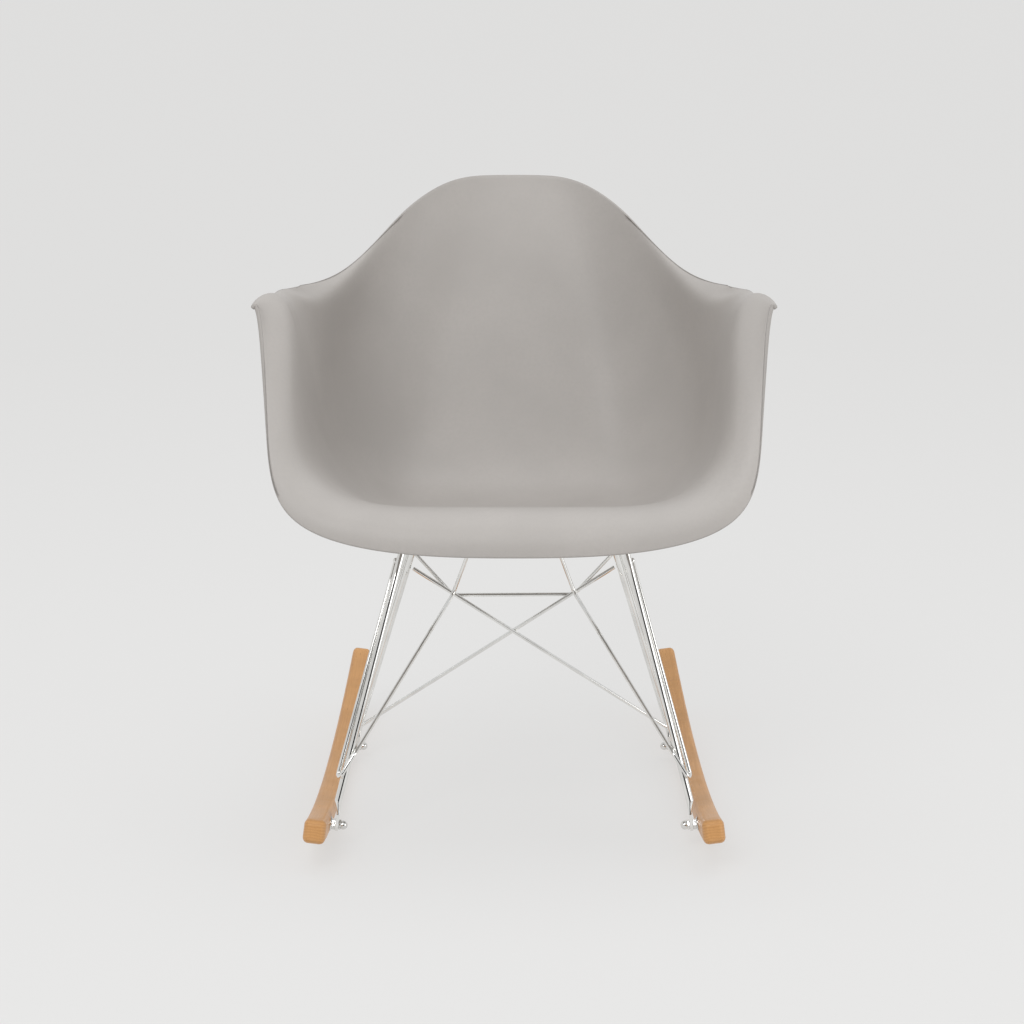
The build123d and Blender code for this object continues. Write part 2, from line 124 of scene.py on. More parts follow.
# Corners of the stays as (z, outwards of the leg's axis, forwards of it)
FRONT_STAY_WELD = (FRONT_LEG[1][2] - STAY_TOP_DROP, 0.0048, -0.0054)
FRONT_HAIRPIN = ((0.085, 0.0078, 0.0), (0.083, 0.0042, 0.0085), (0.111, -0.0055, 0.0072))
REAR_HAIRPIN = ((0.044, 0.0095, 0.0), (0.042, 0.006, 0.0094), (0.055, -0.0065, 0.0094))
FRONT_BEND_RADII = (0.004, 0.004, 0.008, 0.010)
REAR_BEND_RADII = (0.004, 0.004, 0.008)
SPREADER_BEND_RADII = (0.018, 0.018)

# Bolts through the feet of the legs
BOLT_FRONT_Y = -0.248
BOLT_REAR_Y = 0.092
BORE_CLEARANCE = 0.0002
WASHER_CHAMFER = 0.0003
NUT_CHAMFER = 0.0006
TAB_THICKNESS = 0.0034
SLAT_EDGE_RADIUS = 0.006  # rests on the floor when the slat leans


# ---------------------------------------------------------------- settings


class ShellSettings(bpy.types.PropertyGroup):
    """Sizes and finish of the moulded seat shell."""

    thickness: bpy.props.FloatProperty(
        name="Thickness", description="Wall of the shell", default=0.0046, unit="LENGTH"
    )
    rim_radius: bpy.props.FloatProperty(
        name="Rim Radius", description="Rounding of the trimmed rim", default=0.0015, unit="LENGTH"
    )
    colour: bpy.props.FloatVectorProperty(
        name="Colour", description="Moulded plastic", default=(0.425, 0.40, 0.378), subtype="COLOR"
    )
    texture_depth: bpy.props.FloatProperty(
        name="Texture Depth", description="Depth of the moulded skin", default=0.00035, unit="LENGTH"
    )


class RockerSettings(bpy.types.PropertyGroup):
    """Sizes and colours of the two wooden rockers."""

    arc_radius: bpy.props.FloatProperty(
        name="Arc Radius", description="Radius of the sole of a rocker", default=1.19, unit="LENGTH"
    )
    width: bpy.props.FloatProperty(
        name="Width",
        description="Thickness of the slat from side to side",
        default=0.025,
        unit="LENGTH",
    )
    height: bpy.props.FloatProperty(
        name="Height", description="Height of the slat", default=0.027, unit="LENGTH"
    )
    rounding: bpy.props.FloatVectorProperty(
        name="Rounding",
        description="Rounding of the slat's edges: across, lengthwise at the ends, upright",
        default=(0.0062, 0.010, 0.0068),
        subtype="XYZ",
        unit="LENGTH",
    )
    front_y: bpy.props.FloatProperty(
        name="Front", description="Place of the front end", default=-0.3375, unit="LENGTH"
    )
    rear_y: bpy.props.FloatProperty(
        name="Rear", description="Place of the rear end", default=0.3473, unit="LENGTH"
    )
    lowest_y: bpy.props.FloatProperty(
        name="Lowest Point",
        description="Place where the sole meets the floor",
        default=-0.041,
        unit="LENGTH",
    )
    inner_x: bpy.props.FloatProperty(
        name="Inner Face",
        description="Inner face of the slat at the floor",
        default=0.2148,
        unit="LENGTH",
    )
    cant: bpy.props.FloatProperty(
        name="Cant",
        description="Lean of the slat towards the middle",
        default=math.atan(0.125),
        unit="ROTATION",
    )
    light_wood: bpy.props.FloatVectorProperty(
        name="Light Wood",
        description="Early wood of the maple",
        default=(0.62, 0.335, 0.135),
        subtype="COLOR",
    )
    dark_wood: bpy.props.FloatVectorProperty(
        name="Dark Wood",
        description="Growth lines of the maple",
        default=(0.43, 0.205, 0.075),
        subtype="COLOR",
    )


class SteelSettings(bpy.types.PropertyGroup):
    """Sizes and finish of the chromed base."""

    wire_diameter: bpy.props.FloatProperty(
        name="Wire Diameter", description="Stays and spreader", default=0.005, unit="LENGTH"
    )
    bead_diameter: bpy.props.FloatProperty(
        name="Weld Bead",
        description="Bead where a stay is welded to its leg",
        default=0.007,
        unit="LENGTH",
    )
    washer: bpy.props.FloatVectorProperty(
        name="Washer",
        description="Diameter and thickness of the bolt washers",
        default=(0.016, 0.0012),
        size=2,
    )
    spacer: bpy.props.FloatVectorProperty(
        name="Spacer Nut",
        description="Width across flats and thickness",
        default=(0.011, 0.0048),
        size=2,
    )
    cap_nut: bpy.props.FloatVectorProperty(
        name="Cap Nut",
        description="Width across flats, hex height and dome diameter",
        default=(0.010, 0.003, 0.0104),
    )
    stud_diameter: bpy.props.FloatProperty(
        name="Stud", description="Threaded stud through the feet", default=0.006, unit="LENGTH"
    )
    chrome: bpy.props.FloatVectorProperty(
        name="Chrome", description="Tint of the plating", default=(0.84, 0.835, 0.815), subtype="COLOR"
    )


class StageSettings(bpy.types.PropertyGroup):
    """Camera, floor and light."""

    camera_place: bpy.props.FloatVectorProperty(
        name="Camera",
        description="Place of the camera",
        default=(-0.0024, -2.45, 0.805),
        subtype="XYZ",
        unit="LENGTH",
    )
    camera_pitch: bpy.props.FloatProperty(
        name="Pitch",
        description="Camera's look downwards",
        default=math.radians(10.55),
        unit="ROTATION",
    )
    lens: bpy.props.FloatProperty(name="Lens", description="Focal length in millimetres", default=70.6)
    floor_colour: bpy.props.FloatVectorProperty(
        name="Floor", description="Paper sweep", default=(0.20, 0.199, 0.198), subtype="COLOR"
    )
    floor_glow: bpy.props.FloatProperty(
        name="Floor Glow", description="Light that the lit paper sweep gives off", default=0.575
    )


# ---------------------------------------------------------------- node and mesh helpers


def fill(tree, socket, value):
    """Link a socket to an input, or set the input's own value."""
    if isinstance(value, bpy.types.NodeSocket):
        tree.links.new(value, socket)
    else:
        socket.default_value = value


def put(tree, kind, *values, **settings):
    """Add a node. Lower-case settings are its properties, capitalised ones its inputs by name."""
    node = tree.nodes.new(kind)
    for key, value in settings.items():
        if key[0].islower():
            setattr(node, key, value)
    for key, value in settings.items():
        if key[0].isupper():
            fill(tree, node.inputs[key.replace("_", " ")], value)
    for socket, value in zip([s for s in node.inputs if s.enabled], values):
        if value is not None:
            fill(tree, socket, value)
    return node


def result(node, name=None):
    """Output of a node by name, or its first one in use."""
    if name:
        return node.outputs[name]
    return next(socket for socket in node.outputs if socket.enabled)


def number(tree, operation, *values, **settings):
    """Math node's result."""
    return result(put(tree, "ShaderNodeMath", *values, operation=operation, **settings))


def vector(tree, operation, *values):
    """Vector Math node's result."""
    node = put(tree, "ShaderNodeVectorMath", operation=operation)
    for socket, value in zip([s for s in node.inputs if s.enabled], values):
        fill(tree, socket, value)
    return result(node)


def new_tree(name, kind, sockets_in, sockets_out):
    """Node group with named inputs and outputs, and its input and output nodes."""
    tree = bpy.data.node_groups.new(name, kind)
    for in_out, sockets in (("INPUT", sockets_in), ("OUTPUT", sockets_out)):
        for label, socket_kind, *default in sockets:
            socket_type = "NodeSocket" + socket_kind
            item = tree.interface.new_socket(name=label, in_out=in_out, socket_type=socket_type)
            if default:
                item.default_value = default[0]
    start = tree.nodes.new("NodeGroupInput")
    end = tree.nodes.new("NodeGroupOutput")
    return tree, start.outputs, end.inputs


def mesh_object(name, mesh):
    """Object at the origin with the given mesh."""
    piece = bpy.data.objects.new(name, mesh)
    bpy.context.scene.collection.objects.link(piece)
    return piece


def grown(name, data, tree, inputs):
    """Run a Geometry Nodes tree on mesh or curve data and return the result as a plain mesh object."""
    seed = mesh_object(name + "_route", data)
    modifier = seed.modifiers.new("shape", "NODES")
    modifier.node_group = tree
    for item in tree.interface.items_tree:
        if item.item_type == "SOCKET" and item.in_out == "INPUT" and item.name in inputs:
            modifier[item.identifier] = inputs[item.name]
    bpy.context.view_layer.update()
    evaluated = seed.evaluated_get(bpy.context.evaluated_depsgraph_get())
    mesh = bpy.data.meshes.new_from_object(evaluated)
    mesh.name = name
    seed.modifiers.remove(modifier)
    bpy.data.objects.remove(seed)
    return mesh_object(name, mesh)


def stand_for(piece, slot, *nodes):
    """Let a piece ride on the chair in place of CAD nodes."""
    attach(piece, BODY)
    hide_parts(*nodes)


def finish_node(name, material):
    """Give a carried-over CAD node its material."""
    for slot in NODES[name].material_slots:
        slot.material = material


# ---------------------------------------------------------------- shader groups


def group_mottle():
    """Slow and fast unevenness of a colour or a gloss."""
    if "mottle" in bpy.data.node_groups:
        return bpy.data.node_groups["mottle"]
    tree, start, end = new_tree(
        "mottle",
        "ShaderNodeTree",
        (("Place", "Vector"), ("Patch Size", "Float", 0.08), ("Speck Size", "Float", 0.004)),
        (("Patches", "Float"), ("Specks", "Float")),
    )
    patch_scale = number(tree, "DIVIDE", 1.0, start["Patch Size"])
    speck_scale = number(tree, "DIVIDE", 1.0, start["Speck Size"])
    patches = put(
        tree, "ShaderNodeTexNoise", Vector=start["Place"], Scale=patch_scale, Detail=3.0, Roughness=0.55
    )
    specks = put(
        tree, "ShaderNodeTexNoise", Vector=start["Place"], Scale=speck_scale, Detail=4.0, Roughness=0.6
    )
    tree.links.new(patches.outputs["Fac"], end["Patches"])
    tree.links.new(specks.outputs["Fac"], end["Specks"])
    return tree


def group_handling():
    """Faint smears and fine scratches left by handling."""
    if "handling" in bpy.data.node_groups:
        return bpy.data.node_groups["handling"]
    tree, start, end = new_tree(
        "handling",
        "ShaderNodeTree",
        (("Place", "Vector"), ("Smear Size", "Float", 0.05), ("Scratch Size", "Float", 0.0012)),
        (("Smears", "Float"), ("Scratches", "Float")),
    )
    smear_scale = number(tree, "DIVIDE", 1.0, start["Smear Size"])
    scratch_scale = number(tree, "DIVIDE", 1.0, start["Scratch Size"])
    smears = put(
        tree, "ShaderNodeTexNoise", Vector=start["Place"], Scale=smear_scale, Detail=5.0, Distortion=0.8
    )
    smear_mask = put(
        tree, "ShaderNodeMapRange", Value=smears.outputs["Fac"], From_Min=0.45, From_Max=0.75
    )
    stretched = vector(tree, "MULTIPLY", start["Place"], (1.0, 0.06, 1.0))
    scratches = put(
        tree, "ShaderNodeTexNoise", Vector=stretched, Scale=scratch_scale, Detail=2.0, Distortion=0.3
    )
    scratch_mask = put(
        tree, "ShaderNodeMapRange", Value=scratches.outputs["Fac"], From_Min=0.66, From_Max=0.74
    )
    tree.links.new(result(smear_mask), end["Smears"])
    tree.links.new(result(scratch_mask), end["Scratches"])
    return tree


def placed_group(tree, group, **inputs):
    """Shader group placed in a material."""
    node = tree.nodes.new("ShaderNodeGroup")
    node.node_tree = group
    for key, value in inputs.items():
        fill(tree, node.inputs[key.replace("_", " ")], value)
    return node


def new_material(name):
    """Material with only its Principled shader, its tree and the piece's own coordinates."""
    if name in bpy.data.materials:
        return bpy.data.materials[name], None, None, None
    material = bpy.data.materials.new(name)
    material.use_nodes = True
    tree = material.node_tree
    shader = tree.nodes["Principled BSDF"]
    place = tree.nodes.new("ShaderNodeTexCoord").outputs["Object"]
    return material, tree, shader, place


def blended(tree, share, first, second):
    """Colour between two colours."""
    return result(put(tree, "ShaderNodeMix", share, first, second, data_type="RGBA"))


def ranged(tree, value, low, high, from_low=0.0, from_high=1.0):
    """Value carried from one range to another."""
    return result(
        put(
            tree,
            "ShaderNodeMapRange",
            Value=value,
            From_Min=from_low,
            From_Max=from_high,
            To_Min=low,
            To_Max=high,
        )
    )


def shaded(colour, factor):
    """Colour made lighter or darker, with its alpha."""
    return tuple(min(1.0, part * factor) for part in colour) + (1.0,)


# ---------------------------------------------------------------- materials


def moulded_plastic(settings):
    """Warm grey plastic with a fine moulded skin, a slightly rubbed, rougher rim and painted shade
    darkening the rim.
    """
    material, tree, shader, place = new_material("moulded_plastic")
    if tree is None:
        return material
    colour = tuple(settings.colour)
    mottle = placed_group(tree, group_mottle(), Place=place, Patch_Size=0.11, Speck_Size=0.0045)
    handling = placed_group(tree, group_handling(), Place=place, Smear_Size=0.09, Scratch_Size=0.004)
    patches = ranged(tree, mottle.outputs["Patches"], 0.0, 1.0, 0.34, 0.66)
    base = blended(tree, patches, shaded(colour, 0.965), shaded(colour, 1.035))
    specks = ranged(tree, mottle.outputs["Specks"], 0.0, 0.35, 0.42, 0.7)
    base = blended(tree, specks, base, shaded(colour, 0.93))
    # painted shade: the rim is blended towards a darker plastic colour, standing in for the shade along
    # the rolled edge
    rim = put(tree, "ShaderNodeAttribute", attribute_name="rim")
    rim_shade_share = number(tree, "MULTIPLY", rim.outputs["Fac"], 0.45)
    base = blended(tree, rim_shade_share, base, shaded(colour, 0.72))
    fill(tree, shader.inputs["Base Color"], base)
    gloss = ranged(tree, handling.outputs["Smears"], 0.47, 0.53)
    gloss = number(tree, "ADD", gloss, number(tree, "MULTIPLY", rim.outputs["Fac"], 0.12))
    fill(tree, shader.inputs["Roughness"], gloss)
    shader.inputs["Specular IOR Level"].default_value = 0.42
    skin = put(tree, "ShaderNodeTexVoronoi", Vector=place, Scale=620.0, feature="SMOOTH_F1")
    pebbles = put(tree, "ShaderNodeTexNoise", Vector=place, Scale=300.0, Detail=4.0, Roughness=0.6)
    dimples = number(tree, "MULTIPLY", skin.outputs["Distance"], 0.5)
    height = number(tree, "ADD", dimples, pebbles.outputs["Fac"])
    bump = put(tree, "ShaderNodeBump", Strength=0.22, Distance=settings.texture_depth, Height=height)
    fill(tree, shader.inputs["Normal"], result(bump))
    return material


def plated_metal(name, settings, sizes, shades, gloss_range, scratch_gloss, skin):
    """Plated metal with faint smears.

    Sizes are those of patches, specks, smears and scratches, and the skin is the group output
    that raises the surface, its strength and its depth.
    """
    material, tree, shader, place = new_material(name)
    if tree is None:
        return material
    tint = tuple(settings.chrome)
    patch, speck, smear, scratch = sizes
    mottle = placed_group(tree, group_mottle(), Place=place, Patch_Size=patch, Speck_Size=speck)
    handling = placed_group(tree, group_handling(), Place=place, Smear_Size=smear, Scratch_Size=scratch)
    patches = ranged(tree, mottle.outputs["Patches"], 0.0, 1.0, 0.35, 0.65)
    base = blended(tree, patches, shaded(tint, shades[0]), shaded(tint, shades[1]))
    fill(tree, shader.inputs["Base Color"], base)
    gloss = ranged(tree, handling.outputs["Smears"], *gloss_range)
    scratches = number(tree, "MULTIPLY", handling.outputs["Scratches"], scratch_gloss)
    fill(tree, shader.inputs["Roughness"], number(tree, "ADD", gloss, scratches))
    shader.inputs["Metallic"].default_value = 1.0
    output, strength, depth = skin
    bump = put(tree, "ShaderNodeBump", Strength=strength, Distance=depth, Height=mottle.outputs[output])
    fill(tree, shader.inputs["Normal"], result(bump))
    return material


def chromed_steel(settings):
    """Bright chrome plate of the rods and wires."""
    return plated_metal(
        "chromed_steel",
        settings,
        sizes=(0.03, 0.002, 0.02, 0.0008),
        shades=(0.93, 1.04),
        gloss_range=(0.03, 0.08),
        scratch_gloss=0.05,
        skin=("Patches", 0.02, 0.00005),
    )


def plated_fixings(settings):
    """Nickel-plated nuts and washers, a little duller than the rods."""
    return plated_metal(
        "plated_fixings",
        settings,
        sizes=(0.008, 0.0008, 0.006, 0.0005),
        shades=(0.82, 0.98),
        gloss_range=(0.14, 0.26),
        scratch_gloss=0.12,
        skin=("Specks", 0.10, 0.0001),
    )


def lacquered_maple(settings):
    """Pale maple under clear lacquer, its grain following the bend of the slat."""
    material, tree, shader, _ = new_material("lacquered_maple")
    if tree is None:
        return material
    light = tuple(settings.light_wood)
    dark = tuple(settings.dark_wood)
    grain_place = put(tree, "ShaderNodeAttribute", attribute_name="grain_place").outputs["Vector"]
    mottle = placed_group(tree, group_mottle(), Place=grain_place, Patch_Size=0.07, Speck_Size=0.002)
    handling = placed_group(tree, group_handling(), Place=grain_place, Smear_Size=0.05, Scratch_Size=0.001)
    long_place = vector(tree, "MULTIPLY", grain_place, (1.0, 0.045, 1.0))
    drift = put(tree, "ShaderNodeTexNoise", Vector=long_place, Scale=55.0, Detail=3.0, Roughness=0.5)
    shifted = put(tree, "ShaderNodeVectorMath", operation="MULTIPLY_ADD")
    fill(tree, shifted.inputs[0], drift.outputs["Color"])
    fill(tree, shifted.inputs[1], (0.006, 0.006, 0.006))
    fill(tree, shifted.inputs[2], long_place)
    rings = put(
        tree,
        "ShaderNodeTexWave",
        Vector=result(shifted),
        Scale=95.0,
        Distortion=2.2,
        Detail=2.0,
        Detail_Scale=1.4,
        wave_type="BANDS",
        bands_direction="Z",
        wave_profile="SIN",
    )
    ring_share = ranged(tree, rings.outputs["Fac"], 0.0, 0.42, 0.35, 1.0)
    fibres = put(
        tree,
        "ShaderNodeTexNoise",
        Vector=vector(tree, "MULTIPLY", grain_place, (1.0, 0.02, 1.0)),
        Scale=900.0,
        Detail=4.0,
        Roughness=0.65,
    )
    fibre_share = ranged(tree, fibres.outputs["Fac"], 0.0, 0.55, 0.38, 0.72)
    patches = ranged(tree, mottle.outputs["Patches"], 0.0, 1.0, 0.32, 0.68)
    base = blended(tree, patches, shaded(light, 0.88), shaded(light, 1.08))
    base = blended(tree, ring_share, base, shaded(dark, 1.0))
    base = blended(tree, fibre_share, base, shaded(dark, 1.12))
    fleck_place = vector(tree, "MULTIPLY", grain_place, (1.0, 0.16, 1.0))
    flecks = put(tree, "ShaderNodeTexVoronoi", Vector=fleck_place, Scale=210.0, feature="F1")
    fleck_share = ranged(tree, flecks.outputs["Distance"], 0.6, 0.0, 0.02, 0.13)
    base = blended(tree, fleck_share, base, shaded(dark, 0.55))
    fill(tree, shader.inputs["Base Color"], base)
    gloss = ranged(tree, handling.outputs["Smears"], 0.34, 0.46)
    gloss = number(tree, "ADD", gloss, number(tree, "MULTIPLY", handling.outputs["Scratches"], 0.12))
    fill(tree, shader.inputs["Roughness"], gloss)
    shader.inputs["Specular IOR Level"].default_value = 0.2
    shader.inputs["Coat Weight"].default_value = 0.08
    shader.inputs["Coat Roughness"].default_value = 0.2
    bump = put(tree, "ShaderNodeBump", Strength=0.18, Distance=0.0002, Height=fibres.outputs["Fac"])
    fill(tree, shader.inputs["Normal"], result(bump))
    return material


def black_rubber():
    """Matt black rubber with a greyish bloom."""
    material, tree, shader, place = new_material("black_rubber")
    if tree is None:
        return material
    black = (0.022, 0.021, 0.020)
    mottle = placed_group(tree, group_mottle(), Place=place, Patch_Size=0.015, Speck_Size=0.0012)
    handling = placed_group(tree, group_handling(), Place=place, Smear_Size=0.02, Scratch_Size=0.001)
    patches = ranged(tree, mottle.outputs["Patches"], 0.0, 1.0, 0.35, 0.65)
    base = blended(tree, patches, shaded(black, 0.8), shaded(black, 1.5))
    bloom = number(tree, "MULTIPLY", handling.outputs["Smears"], 0.3)
    base = blended(tree, bloom, base, (0.06, 0.058, 0.055, 1.0))
    fill(tree, shader.inputs["Base Color"], base)
    fill(tree, shader.inputs["Roughness"], ranged(tree, mottle.outputs["Specks"], 0.66, 0.86))
    bump = put(tree, "ShaderNodeBump", Strength=0.3, Distance=0.0002, Height=mottle.outputs["Specks"])
    fill(tree, shader.inputs["Normal"], result(bump))
    return material


def paper_floor(settings):
    """Pale paper sweep with a barely visible tooth."""
    material, tree, shader, place = new_material("paper_floor")
    if tree is None:
        return material
    colour = tuple(settings.floor_colour)
    mottle = placed_group(tree, group_mottle(), Place=place, Patch_Size=0.9, Speck_Size=0.006)
    base = blended(tree, mottle.outputs["Patches"], shaded(colour, 0.992), shaded(colour, 1.008))
    fill(tree, shader.inputs["Base Color"], base)
    shader.inputs["Roughness"].default_value = 0.95
    shader.inputs["Specular IOR Level"].default_value = 0.1
    shader.inputs["Emission Color"].default_value = (1.0, 0.995, 0.985, 1.0)
    shader.inputs["Emission Strength"].default_value = settings.floor_glow
    return material


# ---------------------------------------------------------------- seat shell


def between(start, end, share):
    """Point between two points."""
    return tuple(a + (b - a) * share for a, b in zip(start, end))


def bucket_outline(half_width, edge_x, rise, softness):
    """Half section of the bucket: flat floor, round corner, wall and rolled armrest."""
    drop = ARM_EDGE_DROP * (1 - softness**2)
    return (
        (0, 0, 0),
        (0.38 * half_width, 0, 0),
        ((0.76 - 0.16 * softness) * half_width, 0, 0),
        ((0.98 - 0.05 * softness) * half_width, (0.10 + 0.14 * softness) * rise, 0),
        (half_width, (0.52 + 0.04 * softness) * rise, 0),
        (half_width + 0.004 + 0.006 * softness, (1.01 - 0.1 * softness) * rise + 0.008, 0),
        (edge_x - 0.005 - 0.002 * softness, rise + 0.020 - 0.022 * softness, 0),
        (edge_x, rise - drop, 0),
    )


def shell_net():
    """Control net of the seat surface, one row for each point of the spine."""
    rows = []
    last = len(SEAT_SPINE) - 1
    for index, (spine_y, spine_z) in enumerate(SEAT_SPINE):
        share = index / last
        arm_x, arm_y, arm_z = between(ARM_EDGE_FRONT, ARM_EDGE_REAR, share)
        reach = math.hypot(arm_y - spine_y, arm_z - spine_z)
        rise_y = (arm_y - spine_y) / reach
        rise_z = (arm_z - spine_z) / reach
        softness = min(1, share / 0.6)
        half_width = SEAT_HALF_WIDTH + (BACK_HALF_WIDTH - SEAT_HALF_WIDTH) * share
        outline = bucket_outline(half_width, arm_x, reach, softness)
        if index < len(FRONT_BLEND):
            stretch = reach / FRONT_EDGE_RISE
            edge = [(x, rise * stretch, sag) for x, rise, sag in FRONT_EDGE]
            outline = [between(a, b, FRONT_BLEND[index]) for a, b in zip(outline, edge)]
        top_index = index - (len(SEAT_SPINE) - len(TOP_BLEND))
        if top_index >= 0:
            stretch = reach / TOP_EDGE[-1][1]
            edge = [(x, rise * stretch, sag) for x, rise, sag in TOP_EDGE]
            outline = [between(a, b, TOP_BLEND[top_index]) for a, b in zip(outline, edge)]
        half = [
            (x, spine_y + rise * rise_y - sag * rise_z, spine_z + rise * rise_z + sag * rise_y)
            for x, rise, sag in outline
        ]
        rows.append([(-x, y, z) for x, y, z in reversed(half[1:])] + half)
    return np.array(rows)


def spline_weights(count, position):
    """Weights of a clamped cubic spline's control points at a position from 0 to 1."""
    knots = [0] * 3 + list(range(count - 2)) + [count - 3] * 3
    at = min(position * (count - 3), count - 3 - 1e-9)
    weights = [1.0 if knots[i] <= at < knots[i + 1] else 0.0 for i in range(count + 3)]
    for degree in (1, 2, 3):
        for i in range(count + 3 - degree):
            left = knots[i + degree] - knots[i]
            right = knots[i + degree + 1] - knots[i + 1]
            rising = (at - knots[i]) / left * weights[i] if left else 0
            falling = (knots[i + degree + 1] - at) / right * weights[i + 1] if right else 0
            weights[i] = rising + falling
    return weights[:count]


def shell_grid(rows, columns):
    """Points and upper normals of the seat surface, with a support row beside every edge."""
    net = shell_net()
    spans = []
    for steps, count in ((rows, net.shape[0]), (columns, net.shape[1])):
        places = [0, SUPPORT_ROW] + [i / steps for i in range(1, steps)] + [1 - SUPPORT_ROW, 1]
        spans.append(np.array([spline_weights(count, place) for place in places]))
    points = np.einsum("ai,bj,ijk->abk", spans[0], spans[1], net)
    normals = np.cross(np.gradient(points, axis=1), np.gradient(points, axis=0))
    normals /= np.linalg.norm(normals, axis=2, keepdims=True)
    middle = normals[len(points) // 2, points.shape[1] // 2]
    if middle[2] - middle[1] < 0:
        normals = -normals
    return points, normals


def rim_loop(rows, columns):
    """Grid places round the edge of the shell, in order."""
    loop = [(0, j) for j in range(columns - 1)]
    loop += [(i, columns - 1) for i in range(rows - 1)]
    loop += [(rows - 1, j) for j in range(columns - 1, 0, -1)]
    loop += [(i, 0) for i in range(rows - 1, 0, -1)]
    return loop


def shell_mesh(thickness, rim_radius):
    """Closed shell with a rounded rim, and how far each point belongs to the rim."""
    points, normals = shell_grid(*SHELL_GRID)
    rows, columns = points.shape[:2]
    loop = rim_loop(rows, columns)
    edge = np.array([points[place] for place in loop])
    edge_normals = np.array([normals[place] for place in loop])
    along = np.roll(edge, -1, axis=0) - np.roll(edge, 1, axis=0)
    inwards = np.cross(edge_normals, along)
    inwards /= np.linalg.norm(inwards, axis=1, keepdims=True)
    if np.dot(inwards[len(inwards) // 8], points[rows // 2, columns // 2] - edge[len(inwards) // 8]) < 0:
        inwards = -inwards
    for place, point, step in zip(loop, edge, inwards):
        points[place] = point + step * rim_radius
    turn = [math.radians(angle) for angle in (30, 60, 90)]
    profile = [(rim_radius * (1 - math.sin(a)), rim_radius * (1 - math.cos(a))) for a in turn]
    profile += [(inset, thickness - depth) for inset, depth in reversed(profile)]
    rings = [edge + inwards * inset - edge_normals * depth for inset, depth in profile]
    vertices = np.concatenate(
        [points.reshape(-1, 3), (points - normals * thickness).reshape(-1, 3)] + rings
    )
    size = rows * columns
    faces = []
    for i in range(rows - 1):
        for j in range(columns - 1):
            a = i * columns + j
            quad = (a, a + 1, a + columns + 1, a + columns)
            faces.append(quad)
            faces.append(tuple(size + corner for corner in reversed(quad)))
    count = len(loop)
    upper = [i * columns + j for i, j in loop]
    levels = [upper]
    levels += [[2 * size + ring * count + k for k in range(count)] for ring in range(len(rings))]
    levels += [[size + k for k in upper]]
    for above, below in zip(levels, levels[1:]):
        for k in range(count):
            after = (k + 1) % count
            faces.append((above[k], below[k], below[after], above[after]))
    rim = np.zeros(len(vertices), np.float32)
    rim[2 * size:] = 1.0
    mesh = bpy.data.meshes.new("seat_shell_skin")
    mesh.from_pydata(vertices.tolist(), [], faces)
    mesh.attributes.new("rim", "FLOAT", "POINT").data.foreach_set("value", rim)
    work = bmesh.new()
    work.from_mesh(mesh)
    bmesh.ops.recalc_face_normals(work, faces=work.faces)
    work.to_mesh(mesh)
    work.free()
    mesh.shade_smooth()
    return mesh


class ARMCHAIR_OT_shell(bpy.types.Operator):
    """Make the moulded seat shell."""

    bl_idname = "armchair.shell"
    bl_label = "Seat Shell"

    def execute(self, context):
        settings = context.scene.armchair_shell
        mesh = shell_mesh(settings.thickness, settings.rim_radius)
        mesh.materials.append(moulded_plastic(settings))
        stand_for(mesh_object("seat_shell_skin", mesh), "shell", "seat_shell")
        return {"FINISHED"}


# ---------------------------------------------------------------- rockers


